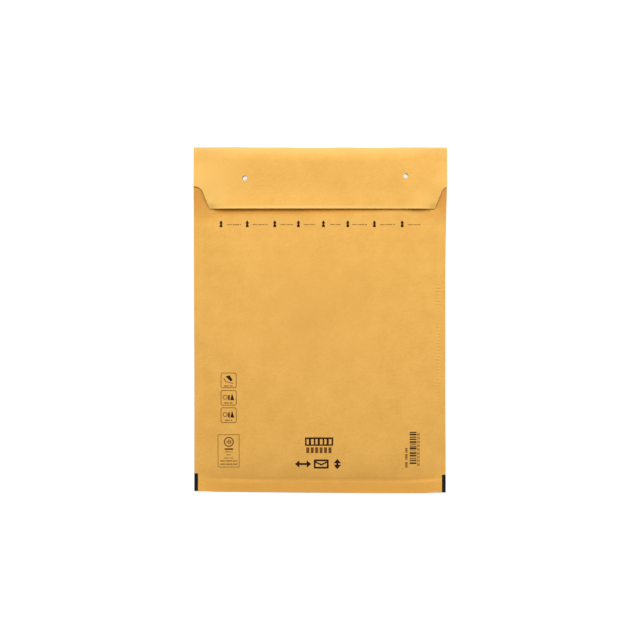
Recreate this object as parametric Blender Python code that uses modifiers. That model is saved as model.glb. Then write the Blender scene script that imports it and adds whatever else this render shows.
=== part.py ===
"""Padded mailing envelope, lying closed on its back with the flap up.

One kraft sheet is folded into the pouch and its flap. A welded bag of bubble film lines the pouch, and
a strip of adhesive with its release liner is on the inner face of the flap. Units are metres. +X is the
envelope's right, +Y points to the flap fold and +Z up. The origin is on the ground, under the middle of
the outline.
"""

import math

import bmesh
import bpy

# Sheet
WIDTH = 0.202
LENGTH = 0.275
PAPER = 0.00015
MOUTH_SETBACK = 0.010
BOTTOM_BOW = 0.0014
BOW_LOWEST_X = 0.055
BOW_POWER = 1.5
PULL_LEFT = 0.0007
PULL_RIGHT = 0.0015
PULL_RUN = 0.090
BOTTOM_RELIEF = 0.35

# Pouch
SEAM = 0.0075
BOTTOM_STRIP = 0.010
SHOULDER = 0.014
SEAM_LIFT = 0.0012

# Bubble lining
BUBBLE_LAYER = 0.0025
WELDED_FILM = 0.0003
POCKET = 0.001
POCKET_INSET = 0.0025
LINING_SETBACK = 0.002
LINING_TRIM = 0.0004

# Flap
FLAP_LENGTH = 0.0485
FLAP_DROOP = 0.003
FOLD_HEIGHT = 0.0022
FOLD_UNDER = 0.003
FOLD_OVER = 0.010
LIP_LIFT = 0.0018
LIP_RUN = 0.026
LIP_CENTRE_X = -0.035
LIP_REACH = 0.085

# Flap's die-cut notches
NOTCH_START = 0.031
NOTCH_RADIUS = 0.007
NOTCH_SLANT = math.radians(22.3)
TIP_INSET = 0.0114
DIE_OFFSET = 0.0014

# Clip holes
HOLE_DIAMETER = 0.0034
HOLE_SPACING = 0.128
HOLE_OFFSET = 0.0039
HOLE_FROM_TIP = 0.0249
HOLE_SKEW = 0.0017

# Closing strip
ADHESIVE = 0.0001
ADHESIVE_WIDTH = 0.011
LINER = 0.0001
LINER_WIDTH = 0.015
STRIP_FROM_TIP = 0.002
STRIP_END_INSET = 0.001

# Clearance between touching pieces
GAP = 0.0003

# Worked-out sizes
HALF_WIDTH = WIDTH / 2
TOP_Y = LENGTH / 2
BOTTOM_Y = -LENGTH / 2
MOUTH_Y = TOP_Y - MOUTH_SETBACK
CLOSED_PITCH = PAPER + 2 * GAP + WELDED_FILM
POUCH_TOP = PAPER / 2 + PAPER + 2 * GAP + 2 * BUBBLE_LAYER + POCKET
FLAP_REST = POUCH_TOP + PAPER + 3 * GAP + ADHESIVE + LINER

# Mesh steps
RAMP_STEPS = 5
MIDDLE_COLUMNS = 5
PANEL_ROWS = 5
FOLD_STEPS = 5
FLAP_STEPS = 3
HOLE_SIDES = 20

KRAFT = (0.83, 0.46, 0.13)
CLEAR_FILM = (0.80, 0.84, 0.86)
GLUE = (0.78, 0.66, 0.38)
SILICONE_PAPER = (0.86, 0.86, 0.83)


def smooth(value):
    """Eased step from 0 to 1."""
    value = min(max(value, 0.0), 1.0)
    return value * value * (3.0 - 2.0 * value)


def spread(start, end, steps):
    """Evenly spaced values from start to end, both included."""
    return [start + (end - start) * i / steps for i in range(steps + 1)]


def side_edge(y, side):
    """Half width of the pouch at y, which the padding draws in below the flap."""
    pull = PULL_RIGHT if side > 0 else PULL_LEFT
    below_flap = smooth((TOP_Y - NOTCH_START - y) / PULL_RUN)
    near_bottom = smooth((BOTTOM_Y + PULL_RUN - y) / PULL_RUN)
    return HALF_WIDTH - pull * (below_flap - BOTTOM_RELIEF * near_bottom)


def bottom_edge(x):
    """The bottom fold's outer edge, which bows a little out of square."""
    reach = abs(x - BOW_LOWEST_X) / (HALF_WIDTH + BOW_LOWEST_X)
    return BOTTOM_Y + BOTTOM_BOW * reach**BOW_POWER


def side_fullness(x, y):
    """0 in the side seams and 1 where the pouch has its full depth."""
    from_edge = min(side_edge(y, 1) - x, side_edge(y, -1) + x)
    return smooth((from_edge - SEAM) / SHOULDER)


def fullness(x, y):
    """0 in the side seams and in the bottom strip, and 1 where the pouch has its full depth."""
    from_bottom = y - bottom_edge(x)
    return side_fullness(x, y) * smooth((from_bottom - BOTTOM_STRIP) / SHOULDER)


def back_height(x, y):
    """Middle of the back panel's paper."""
    return PAPER / 2 + SEAM_LIFT * (1.0 - side_fullness(x, y))


def layer_depth(x, y):
    """Thickness of one layer of the lining."""
    welded = WELDED_FILM / 2
    return welded + (BUBBLE_LAYER - welded) * fullness(x, y)


def front_height(x, y):
    """Middle of the front panel's paper."""
    lining = 2 * layer_depth(x, y) + POCKET * fullness(x, y)
    return back_height(x, y) + PAPER + 2 * GAP + lining


def flap_height(x, y):
    """Middle of the flap's paper: it droops to its sides, and its lip stands up left of the middle."""
    from_edge = HALF_WIDTH - abs(x)
    droop = FLAP_DROOP * (1.0 - smooth((from_edge - SEAM) / SHOULDER))
    to_tip = smooth((TOP_Y - FLAP_LENGTH + LIP_RUN - y) / LIP_RUN)
    across = smooth(1.0 - abs(x - LIP_CENTRE_X) / LIP_REACH)
    return FLAP_REST - droop + LIP_LIFT * to_tip * across


def notch_inset(from_fold):
    """How far the die-cut notch has come in from a centred flap's side, at this distance from the fold."""
    sweep = math.pi / 2 - NOTCH_SLANT
    arc_end = NOTCH_START + NOTCH_RADIUS * (1.0 - math.cos(sweep))
    slant_end = TIP_INSET - (FLAP_LENGTH - arc_end) * math.tan(NOTCH_SLANT)
    if from_fold >= arc_end:
        return slant_end + (from_fold - arc_end) * math.tan(NOTCH_SLANT)
    turned = math.acos(1.0 - (from_fold - NOTCH_START) / NOTCH_RADIUS)
    return slant_end - NOTCH_RADIUS * (math.sin(sweep) - math.sin(turned))


def flap_edge(from_fold, side):
    """Half width of the flap at this distance from the fold."""
    if from_fold <= NOTCH_START:
        return HALF_WIDTH
    inset = notch_inset(from_fold) - side * DIE_OFFSET
    return HALF_WIDTH - max(inset, 0.0)


def strip_span(width):
    """Distances from the fold at which a strip of this width starts and ends."""
    middle = FLAP_LENGTH - STRIP_FROM_TIP - LINER_WIDTH / 2
    return middle - width / 2, middle + width / 2


def flap_rows():
    """Distances from the fold, from where the flap lies flat to its tip, with the notch's arc between.

    The closing strip's edges are among them, so that its facets lie along the paper's.
    """
    sweep = math.pi / 2 - NOTCH_SLANT
    turns = spread(0.0, sweep, FOLD_STEPS)
    arc = [NOTCH_START + NOTCH_RADIUS * (1.0 - math.cos(turn)) for turn in turns]
    flat = spread(FOLD_OVER, NOTCH_START, FLAP_STEPS)
    tip = spread(arc[-1], FLAP_LENGTH, FLAP_STEPS)
    strips = strip_span(ADHESIVE_WIDTH) + strip_span(LINER_WIDTH)
    return sorted({*flat, *arc, *tip, *strips})


def sheet_columns():
    """Places across the flat sheet, closer together where the pouch falls to its seams.

    The closing strip's ends are the second and the last but one.
    """
    ramp = spread(SEAM, SEAM + SHOULDER, RAMP_STEPS)
    left = [-HALF_WIDTH + step for step in (0.0, STRIP_END_INSET, *ramp)]
    right = [-x for x in reversed(left)]
    return left + spread(left[-1], right[0], MIDDLE_COLUMNS)[1:-1] + right


def pouch_rows(lowest, highest):
    """Nominal heights up the pouch, from lowest to highest, closer together at the bottom shoulder."""
    ramp = [BOTTOM_Y + BOTTOM_STRIP + step for step in spread(0.0, SHOULDER, RAMP_STEPS)]
    rows = ramp + spread(ramp[-1], highest, PANEL_ROWS)[1:]
    return [lowest] + rows if lowest < ramp[0] else rows


def pouch_point(column, row):
    """(x, y) of a place on the pouch: the bow of the bottom fold fades out towards the mouth."""
    share = (MOUTH_Y - row) / (MOUTH_Y - BOTTOM_Y)
    y = row + (bottom_edge(column) - BOTTOM_Y) * min(share, 1.0)
    half = side_edge(y, 1 if column > 0 else -1)
    return column * half / HALF_WIDTH, y


def flap_point(column, from_fold):
    """(x, y) of a place on the flap: the notch presses the outer columns together."""
    side = 1 if column > 0 else -1
    inset = HALF_WIDTH - flap_edge(from_fold, side)
    outer = SEAM + SHOULDER
    from_side = HALF_WIDTH - abs(column)
    pressed = inset * max(1.0 - from_side / outer, 0.0)
    return side * (HALF_WIDTH - from_side - pressed), TOP_Y - from_fold


def front_place(column, row):
    x, y = pouch_point(column, row)
    return x, y, front_height(x, y)


def bottom_fold_place(column, turn):
    """A half turn from the front panel down to the back panel."""
    radius = CLOSED_PITCH / 2
    x, y = pouch_point(column, BOTTOM_Y + PAPER / 2 + radius)
    middle = back_height(x, y) + radius
    return x, y - radius * math.sin(turn), middle + radius * math.cos(turn)


def back_place(column, row):
    x, y = pouch_point(column, row)
    return x, y, back_height(x, y)


def under_fold_place(column, turn):
    """The lower part of the soft top fold, from the back panel to the outermost line."""
    x = column
    start = TOP_Y - PAPER / 2 - FOLD_UNDER
    low = back_height(x, TOP_Y)
    return x, start + FOLD_UNDER * math.sin(turn), low + FOLD_HEIGHT * (1.0 - math.cos(turn))


def over_fold_place(column, turn):
    """The upper part of the top fold, from the outermost line over to the flap."""
    x = column
    start = TOP_Y - FOLD_OVER
    low = back_height(x, TOP_Y) + FOLD_HEIGHT
    rise = flap_height(x, start) - low
    return x, start + (FOLD_OVER - PAPER / 2) * math.cos(turn), low + rise * math.sin(turn)


def flap_place(column, from_fold):
    x, y = flap_point(column, from_fold)
    return x, y, flap_height(x, y)


def sheet_rows():
    """The sheet's rows as (placing function, value), from the front's mouth edge to the flap's tip."""
    fold_start = BOTTOM_Y + (PAPER + CLOSED_PITCH) / 2
    front = [(front_place, row) for row in reversed(pouch_rows(fold_start, MOUTH_Y))]
    turns = spread(0.0, math.pi, FOLD_STEPS)
    bottom = [(bottom_fold_place, turn) for turn in turns[1:-1]]
    back_end = TOP_Y - PAPER / 2 - FOLD_UNDER
    back = [(back_place, row) for row in spread(fold_start, back_end, PANEL_ROWS + 1)]
    quarter = spread(0.0, math.pi / 2, FOLD_STEPS)
    under = [(under_fold_place, turn) for turn in quarter[1:]]
    over = [(over_fold_place, turn) for turn in quarter[1:-1]]
    flap = [(flap_place, row) for row in flap_rows()]
    return front + bottom + back + under + over + flap


def grid_mesh(columns, rows, place):
    """A bmesh grid with each crossing moved to place(column, row), and each cell split the same way."""
    bm = bmesh.new()
    across = len(columns) - 1
    along = len(rows) - 1
    bmesh.ops.create_grid(bm, x_segments=across, y_segments=along, size=1.0)
    for vertex in bm.verts:
        column = columns[round((vertex.co.x + 1.0) / 2.0 * across)]
        row = rows[round((vertex.co.y + 1.0) / 2.0 * along)]
        vertex.co = place(column, row)
    bmesh.ops.triangulate(bm, faces=bm.faces[:], quad_method="FIXED")
    return bm


def finish_mesh(name, bm):
    """The object made from a bmesh, shaded smooth apart from its sharp edges."""
    mesh = bpy.data.meshes.new(name)
    bm.to_mesh(mesh)
    bm.free()
    mesh.shade_smooth()
    mesh.set_sharp_from_angle(angle=math.radians(35.0))
    return bpy.data.objects.new(name, mesh)


def slab(name, columns, rows, place, lower, upper):
    """A closed pad between the surfaces lower(x, y) and upper(x, y)."""
    bm = grid_mesh(columns, rows, lambda column, row: (*place(column, row), 0.0))
    raised = bmesh.ops.extrude_face_region(bm, geom=bm.faces[:])["geom"]
    tops = {item for item in raised if isinstance(item, bmesh.types.BMVert)}
    for vertex in bm.verts:
        surface = upper if vertex in tops else lower
        vertex.co.z = surface(vertex.co.x, vertex.co.y)
    bmesh.ops.recalc_face_normals(bm, faces=bm.faces[:])
    return finish_mesh(name, bm)


def material(name, colour, roughness, alpha=1.0):
    made = bpy.data.materials.new(name)
    made.use_nodes = True
    shader = made.node_tree.nodes["Principled BSDF"]
    shader.inputs["Base Color"].default_value = (*colour, 1.0)
    shader.inputs["Roughness"].default_value = roughness
    shader.inputs["Alpha"].default_value = alpha
    return made


def subtract(piece, cutter):
    """Cuts one object out of another, and leaves the cutter as a hidden helper."""
    cut = piece.modifiers.new("cut_" + cutter.name, "BOOLEAN")
    cut.operation = "DIFFERENCE"
    cut.solver = "EXACT"
    cut.object = cutter


def hole_cutters():
    """One upright round cutter for each clip hole, through every layer."""
    cutters = []
    for side, name in ((-1, "left_hole_cutter"), (1, "right_hole_cutter")):
        bm = bmesh.new()
        bmesh.ops.create_cone(
            bm, cap_ends=True, segments=HOLE_SIDES, depth=2 * FLAP_REST,
            radius1=HOLE_DIAMETER / 2, radius2=HOLE_DIAMETER / 2,
        )
        cutter = finish_mesh(name, bm)
        from_fold = FLAP_LENGTH - HOLE_FROM_TIP - side * HOLE_SKEW / 2
        cutter.location = (HOLE_OFFSET + side * HOLE_SPACING / 2, TOP_Y - from_fold, FLAP_REST / 2)
        cutters.append(cutter)
    return cutters


def pocket_cutter():
    """The empty pocket between the lining's two layers, running out past the mouth."""
    limit = HALF_WIDTH - SEAM - POCKET_INSET
    inner = [column for column in sheet_columns() if abs(column) < limit]
    columns = [-limit, *inner, limit]

    def lower(x, y):
        return back_height(x, y) + PAPER / 2 + GAP + layer_depth(x, y)

    def upper(x, y):
        return lower(x, y) + POCKET * fullness(x, y)

    rows = pouch_rows(MOUTH_Y, MOUTH_Y)
    rows[0] += POCKET_INSET
    return slab("pocket_cutter", columns, rows, pouch_point, lower, upper)


def kraft_envelope():
    """The folded sheet: front panel, bottom fold, back panel, top fold and flap in one piece.

    It runs the other way round from the lining and the strips, so that their cells are split alike.
    """
    columns = sheet_columns()
    columns.reverse()
    bm = grid_mesh(columns, sheet_rows(), lambda column, row: row[0](column, row[1]))
    sheet = finish_mesh("kraft_envelope", bm)
    solid = sheet.modifiers.new("paper_thickness", "SOLIDIFY")
    solid.thickness = PAPER
    solid.offset = 0.0
    solid.use_even_offset = True
    sheet.data.materials.append(material("kraft_paper", KRAFT, 0.75))
    return sheet


def bubble_lining():
    """The bag of bubble film: both layers welded in the side seams and open at the mouth."""

    def place(column, row):
        x, y = pouch_point(column, row)
        if abs(column) == HALF_WIDTH:
            x -= math.copysign(LINING_TRIM, x)
        return x, y

    def lower(x, y):
        return back_height(x, y) + PAPER / 2 + GAP

    def upper(x, y):
        return front_height(x, y) - PAPER / 2 - GAP

    rows = pouch_rows(MOUTH_Y, MOUTH_Y - LINING_SETBACK)
    bag = slab("bubble_lining", sheet_columns(), rows, place, lower, upper)
    bag.data.materials.append(material("bubble_film", CLEAR_FILM, 0.25, alpha=0.6))
    return bag


def flap_strip(name, width, depth, thickness):
    """A thin strip along the flap's inner face, with its top this far below the middle of the paper."""

    def upper(x, y):
        return flap_height(x, y) - depth

    def lower(x, y):
        return upper(x, y) - thickness

    start, end = strip_span(width)
    rows = [row for row in reversed(flap_rows()) if start <= row <= end]
    return slab(name, sheet_columns()[1:-1], rows, flap_point, lower, upper)


def adhesive_strip():
    strip = flap_strip("adhesive_strip", ADHESIVE_WIDTH, PAPER / 2 + GAP, ADHESIVE)
    strip.data.materials.append(material("hot_melt_adhesive", GLUE, 0.3))
    return strip


def release_liner():
    depth = PAPER / 2 + GAP + ADHESIVE + GAP
    strip = flap_strip("release_liner", LINER_WIDTH, depth, LINER)
    strip.data.materials.append(material("silicone_paper", SILICONE_PAPER, 0.4))
    return strip


def gather(name, objects):
    collection = bpy.data.collections.new(name)
    bpy.context.scene.collection.children.link(collection)
    for piece in objects:
        collection.objects.link(piece)


def build():
    for leftover in list(bpy.data.objects):
        bpy.data.objects.remove(leftover, do_unlink=True)
    envelope = kraft_envelope()
    lining = bubble_lining()
    pocket = pocket_cutter()
    holes = hole_cutters()
    subtract(lining, pocket)
    for hole in holes:
        subtract(envelope, hole)
        subtract(lining, hole)
    gather("padded_envelope", [envelope, lining, adhesive_strip(), release_liner()])
    cutters = [pocket, *holes]
    gather("cutters", cutters)
    for cutter in cutters:
        cutter.hide_render = True
        cutter.display_type = "WIRE"


build()
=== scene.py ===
"""Looks of a padded mailing envelope: golden kraft paper over bubble film, closed, on a white floor.

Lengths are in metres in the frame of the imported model: +X right, +Y towards the flap fold, +Z up.
"""

import math

import bmesh
import bpy
import numpy as np
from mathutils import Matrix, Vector
from mathutils.bvhtree import BVHTree


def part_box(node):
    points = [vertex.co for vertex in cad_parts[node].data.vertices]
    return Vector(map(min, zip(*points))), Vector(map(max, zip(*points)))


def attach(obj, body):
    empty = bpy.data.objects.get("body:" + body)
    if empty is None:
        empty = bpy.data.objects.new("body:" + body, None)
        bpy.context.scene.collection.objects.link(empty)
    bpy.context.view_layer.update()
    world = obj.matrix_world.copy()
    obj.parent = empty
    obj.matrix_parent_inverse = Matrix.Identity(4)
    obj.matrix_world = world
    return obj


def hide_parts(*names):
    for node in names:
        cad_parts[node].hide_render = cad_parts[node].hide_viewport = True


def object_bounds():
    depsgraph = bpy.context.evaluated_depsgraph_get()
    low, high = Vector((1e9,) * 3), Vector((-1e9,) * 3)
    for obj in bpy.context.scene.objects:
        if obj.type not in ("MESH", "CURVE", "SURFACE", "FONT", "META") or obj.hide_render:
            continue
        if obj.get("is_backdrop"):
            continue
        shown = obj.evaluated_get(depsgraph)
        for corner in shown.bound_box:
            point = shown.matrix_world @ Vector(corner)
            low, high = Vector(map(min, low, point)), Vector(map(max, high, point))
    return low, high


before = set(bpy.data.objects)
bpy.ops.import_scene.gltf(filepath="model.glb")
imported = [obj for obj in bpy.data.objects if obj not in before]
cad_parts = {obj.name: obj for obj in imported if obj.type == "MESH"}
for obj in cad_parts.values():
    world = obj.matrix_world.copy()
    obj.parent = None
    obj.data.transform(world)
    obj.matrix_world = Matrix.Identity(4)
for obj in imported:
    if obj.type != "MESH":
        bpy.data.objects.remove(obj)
CAD_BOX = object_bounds()
SHEET_LOW, SHEET_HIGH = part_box("kraft_envelope")
LINING_LOW, LINING_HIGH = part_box("bubble_lining")
LINER_LOW, LINER_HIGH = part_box("release_liner")
GLUE_LOW, GLUE_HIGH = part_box("adhesive_strip")
MM = 0.001

# A slope is where it starts and how far it runs, a bump is its centre and reach,
# and ripples are their size, wavelength and seed

# Outline of the sheet
HALF_WIDTH = SHEET_HIGH.x
TOP_Y = SHEET_HIGH.y
BOTTOM_Y = SHEET_LOW.y - 0.6 * MM
PAPER = 0.15 * MM
MOUTH_Y = TOP_Y - 10 * MM
TOP_BOW = 0.6 * MM
TOP_BOW_X = 15 * MM
BOTTOM_BOW = 1.4 * MM
BOTTOM_BOW_X = 55 * MM
BOW_POWER = 1.5
CORNER_RISE = 0.4 * MM
CORNER_RISE_SLOPE = (82 * MM, 12 * MM)
PULL_LEFT = 0.5 * MM
PULL_LEFT_SLOPE = (TOP_Y - 62 * MM, -160 * MM)
PULL_RIGHT = 1.25 * MM
PULL_RIGHT_SLOPE = (TOP_Y - 11 * MM, -90 * MM)
PULL_RELIEF = 0.2
PULL_RELIEF_SLOPE = (BOTTOM_Y + 90 * MM, -90 * MM)

# Pouch
SEAM = 7.5 * MM
SEAM_WANDER = (0.10, 45 * MM, 3)
SHOULDER = 14 * MM
SIDE_DOME = ((0.66, 13 * MM), (0.20, 60 * MM))
BOTTOM_STRIP = 11 * MM
STRIP_WANDER = (0.05, 60 * MM, 4)
BOTTOM_DOME = ((0.28, 7.5 * MM), (0.48, 150 * MM))
SEAM_LIFT = 1.0 * MM
NOTCH_LIFT = 2.8 * MM
NOTCH_LIFT_Y = 104 * MM
NOTCH_LIFT_BELOW = 27 * MM
NOTCH_LIFT_ABOVE = 33 * MM
PLY_PITCH = 0.42 * MM
PLATEAU = LINING_HIGH.z + 0.1 * MM

# Finer relief of the panels
ROLLING = (0.16 * MM, 62 * MM, 11)
FINE_ROLLING = (0.04 * MM, 24 * MM, 12)
BUBBLE_PRINT = 0.07 * MM
BUBBLE_PRINT_EDGE = 1.15
BUBBLE_PRINT_SHARE = 0.55
BUBBLE_PRINT_PATCHES = (0.45, 70 * MM, 13)
PUCKERS = (0.10 * MM, 17 * MM, 21)
PUCKER_BUMP = (13 * MM, 15 * MM)

# Bottom strip: its hump, the pressed line above it and the crease near the right corner
STRIP_HUMP = 0.25 * MM
STRIP_HUMP_LEAST = 0.3
STRIP_HUMP_BUMPS = ((-64 * MM, 34 * MM), (88 * MM, 30 * MM))
WELD_DEPTH = 0.10 * MM
WELD_REACH = 2.2 * MM
WELD_UP = 10.2 * MM
WELD_RISE = 1.3 * MM
WELD_RISE_SLOPE = (66 * MM, 30 * MM)
WELD_WANDER = (0.3 * MM, 70 * MM, 17)
WELD_END_SLOPES = ((-90 * MM, 9 * MM), (100 * MM, -10 * MM))
CREASE_HEIGHT = 0.18 * MM
CREASE_REACH = 1.3 * MM
CREASE_UP = 8.65 * MM
CREASE_TILT = 0.05
CREASE_BUMP = (85 * MM, 16 * MM)

# Flap
FLAP_LENGTH = 48.7 * MM
NOTCH_START = 31 * MM
NOTCH_RADIUS = 7 * MM
NOTCH_SLANT = math.radians(22.3)
TIP_INSET = 11.4 * MM
TIP_X = HALF_WIDTH - TIP_INSET
DIE_OFFSET = 1.4 * MM
FLAP_ROW_STEP = 1.6 * MM
FLAP_CLEARANCE = 0.95 * MM
FLAP_SPREAD = 0.65 * MM
FLAP_SPREAD_SLOPE = (HALF_WIDTH - 6 * MM, -28 * MM)
FLAP_SIDE_DROP = 0.30 * MM
FLAP_ROLLING = (0.08 * MM, 48 * MM, 31)
FLAP_STIFFNESS = 0.75
CROWN = 1.1 * MM
CROWN_SLOPE = (36 * MM, -26 * MM)
CROWN_LEAST = 0.35
CROWN_BUMP = (-5 * MM, 85 * MM)
LEFT_TILT = 0.3 * MM
LEFT_TILT_SLOPE = (-35 * MM, -55 * MM)
LEFT_TILT_DOWN = (4 * MM, 46 * MM)

# The flap's lip, which stands up most to the left and rests lower at its corners
LIP_RUN = 19 * MM
LIP_POWER = 2.3
LIP_GIVE = 0.4
LIP_LIFT = 1.15 * MM
LIP_LIFT_LEAST = 0.10
LIP_LIFT_SLOPE = (64 * MM, -95 * MM)
LIP_CORNER_SLOPE = (TIP_X - 4 * MM, -9 * MM)
LIP_DROP = 0.15 * MM
RIGHT_CURL = 0.9 * MM
RIGHT_CURL_BUMP = (77 * MM, 13 * MM)
CORNER_TUCK = 0.7 * MM
CORNER_TUCK_SLOPE = (TIP_X - 5.5 * MM, 4 * MM)
CORNER_TUCK_DOWN = (FLAP_LENGTH - 3.8 * MM, 3.4 * MM)

# Top fold
FOLD_HEIGHT = 2.9 * MM
FOLD_HEIGHT_LEAST = 0.35
FOLD_HEIGHT_SLOPE = (HALF_WIDTH, -22 * MM)
FOLD_ROLLING = (0.12 * MM, 40 * MM, 41)
FOLD_START = TOP_Y - PAPER / 2 - 3 * MM
FOLD_OVER = 11 * MM

# Columns of points across the sheet: millimetres in from each side, and how many lie between
SEAM_COLUMNS = (0.0, 1.0, 2.0, 3.0, 3.7, 4.5, 5.3, 6.1, 6.9, 7.7, 8.5, 10.0, 11.6, 13.4)
SHOULDER_COLUMNS = (15.3, 17.3, 19.4, 21.6, 24.0)
MIDDLE_COLUMNS = 58

# Clip holes
PUNCH_LENGTH = 30 * MM
PUNCH_Z = 5 * MM
HOLE_RADIUS = 1.9 * MM
HOLE_SPACING = 128 * MM
HOLE_OFFSET = 3.9 * MM
HOLE_FROM_FOLD = 23.6 * MM
HOLE_SKEW = 1.7 * MM

# Ribs that the sealing jaws press into the side seams, which show most in two runs on the right
CRIMP_SLOPES = ((3.6 * MM, MM), (8.4 * MM, -MM))
CRIMP_PITCH = 2.6 * MM
CRIMP_DEPTH = 0.24 * MM
CRIMP_WEAR = (1.0, 14 * MM, 8)
CRIMP_LEFT = 0.12
CRIMP_LEFT_WEAR = 0.22
CRIMP_RIGHT = 0.2
CRIMP_RIGHT_WEAR = 0.1
CRIMP_UPPER_SLOPES = ((10 * MM, 4 * MM), (30 * MM, -4 * MM))
CRIMP_LOWER_SLOPES = ((-66 * MM, 26 * MM), (2 * MM, -8 * MM))
CRIMP_RUNS = ((0.72, CRIMP_UPPER_SLOPES), (0.6, CRIMP_LOWER_SLOPES))
ROW_STEP = CRIMP_PITCH / 3
BACK_ROW_STEP = 1.5 * CRIMP_PITCH

# Bubble film
BUBBLE_PITCH = 11 * MM
BUBBLE_RADIUS = 4.7 * MM
BUBBLE_HEIGHT = 2.35 * MM
BUBBLE_SHARE = 0.42
BUBBLE_GAP = 0.1 * MM
BUBBLE_SIDE_GAP = 1.0 * MM
BUBBLE_ROW_PITCH = BUBBLE_PITCH * math.sqrt(3.0) / 2.0
FILM = 0.05 * MM
FILM_INSET = 0.3 * MM
FILM_LOW_Y = BOTTOM_Y + BOTTOM_STRIP + 0.6 * MM
FILM_HIGH_Y = MOUTH_Y - 2 * MM
BUBBLES_LOW_Y = BOTTOM_Y + BOTTOM_STRIP + 4 * MM
FILM_CRIMP_SHARE = 0.55

# Adhesive and its liner: how far in from the flap's ends and below its middle, and how thick
STRIP_INSET = 1.0 * MM
GLUE_BELOW = 0.16 * MM
GLUE = 0.10 * MM
LINER_BELOW = 0.33 * MM
LINER = 0.08 * MM
LINER_RIPPLES = (0.04 * MM, 30 * MM, 51)

# Printing: how far the ink stands up and sinks in, the corner marks, and the cells in millimetres
INK = 0.035 * MM
EDGE_MARK_WIDTH = 3 * MM
EDGE_MARK_HEIGHT = 14.2 * MM
PRINT_CELL = 1.5

# Painted light and shade on the paper: centre and reach in millimetres, how much, and the painted tone
# there
# A paler, less red tone over the top fold: a painted highlight
TOP_PAINTED_HIGHLIGHT = (((0, 138), (600, 7), 1.0, (219, 178, 101)),)
FLAP_PAINTED_LIGHT = (
    # Flap lighter over its left part and by the right notch: painted light
    ((-101, 112), (52, 30), 0.9, (240, 190, 103)),
    ((101, 106), (13, 20), 0.7, (240, 190, 103)),
    # Flap corners lighter where they bend away from the lamp: painted light
    ((-87, 96), (16, 12), 0.8, (246, 198, 108)),
    ((86, 96), (15, 12), 0.7, (246, 196, 106)),
    # A thin lighter band along the lip's edge: a painted highlight
    ((0, 89.9), (600, 1.8), 0.9, (237, 195, 109)),
)
POUCH_PAINTED_SHADE = (
    # A warmer, lighter tone on the bottom strip, standing in for the colour of its shade: painted shade
    ((0, -137), (600, 17), 0.7, (255, 181, 78)),
    # The middle of the front a little darker: painted shade
    ((2, 14), (62, 62), 0.5, (226, 168, 78)),
    # Darker patches below the lip's ends and at the tops of the notches: painted shadows
    ((-88, 85), (12, 9), 0.4, (222, 150, 55)),
    ((86, 85), (8, 6), 0.5, (222, 150, 55)),
    ((-100, 106), (7, 3.5), 0.4, (205, 135, 50)),
    ((100, 105.5), (7, 4), 0.5, (205, 135, 50)),
)

# Painted shade on the pouch's seams below the notches, and a painted shadow under the lip, deeper on the
# left
NOTCH_Y = TOP_Y - NOTCH_START
SEAM_SHADE = (220, 146, 58)
SEAM_SHADE_ACROSS = (HALF_WIDTH - 13 * MM, HALF_WIDTH - 7 * MM)
SEAM_SHADE_UP = (NOTCH_Y - 32 * MM, NOTCH_Y - 10 * MM)
LIP_Y = TOP_Y - FLAP_LENGTH
LIP_SHADOW = (236, 154, 40)
LIP_SHADOW_ENDS = (87 * MM, 82 * MM)
LIP_SHADOW_TURN = (20 * MM, 45 * MM)
LIP_SHADOW_STARTS = (LIP_Y - 7.5 * MM, LIP_Y - 2.5 * MM)
LIP_SHADOW_FULL = LIP_Y - 0.5 * MM

# Studio: the lamp beyond the flap end, the surround's light, the floor, and the photo's scale
LAMP_PLACE = (0.12, 1.03, 0.98)
LAMP_SIZE = (1.9, 1.0)
LAMP_POWER = 29.6
SURROUND = 0.235
FLOOR_TONE = 0.30
FLOOR_GLOW = 0.85
FLOOR_REACH = 4.0
FLOOR_DROP = 0.05 * MM
PHOTO_PIXELS = 640
METRES_TO_A_PIXEL = 0.796 * MM
CAMERA_SHIFT = (-0.3 * MM, 0.2 * MM)


def smooth(value):
    """Eased step from 0 to 1."""
    value = np.clip(value, 0.0, 1.0)
    return value * value * (3.0 - 2.0 * value)


def slope(value, start, run):
    """0 at the start, eased to 1 a run further on, or further back where the run is negative."""
    return smooth((value - start) / run)


def bump(value, centre, reach):
    """1 at the centre, falling softly to 0 at its reach on either side."""
    return smooth(1.0 - np.abs(value - centre) / reach)


def between(value, slopes):
    """1 between two slopes that face each other, and 0 beyond them."""
    first, second = slopes
    return slope(value, *first) * slope(value, *second)


def at_least(least, value):
    """A value of 0 to 1 squeezed into least to 1."""
    return least + (1.0 - least) * value


def waves(x, y, ripples):
    """An irregular rolling surface of about plus or minus the ripples' size, from a few plane waves."""
    size, wavelength, seed = ripples
    count = 7
    draw = np.random.default_rng(seed)
    total = np.zeros(np.broadcast(x, y).shape)
    for _ in range(count):
        angle = draw.uniform(0.0, math.tau)
        phase = draw.uniform(0.0, math.tau)
        turns = draw.uniform(0.7, 1.4) * math.tau / wavelength
        total += np.sin(turns * (x * math.cos(angle) + y * math.sin(angle)) + phase)
    return size * total / math.sqrt(count)


def bow(x, depth, centre):
    """0 at the centre, bending up to the depth at the far side edge."""
    return depth * (np.abs(x - centre) / (HALF_WIDTH + centre)) ** BOW_POWER


def side_edge(y, side):
    """Half width of the pouch at y, which the padding draws in, more so on the right."""
    left = PULL_LEFT * slope(y, *PULL_LEFT_SLOPE)
    right = PULL_RIGHT * slope(y, *PULL_RIGHT_SLOPE)
    relief = 1.0 - PULL_RELIEF * slope(y, *PULL_RELIEF_SLOPE)
    return HALF_WIDTH - np.where(side > 0, right, left) * relief


def top_edge(x):
    """The flap fold's outer edge."""
    return TOP_Y + bow(x, TOP_BOW, TOP_BOW_X)


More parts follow.
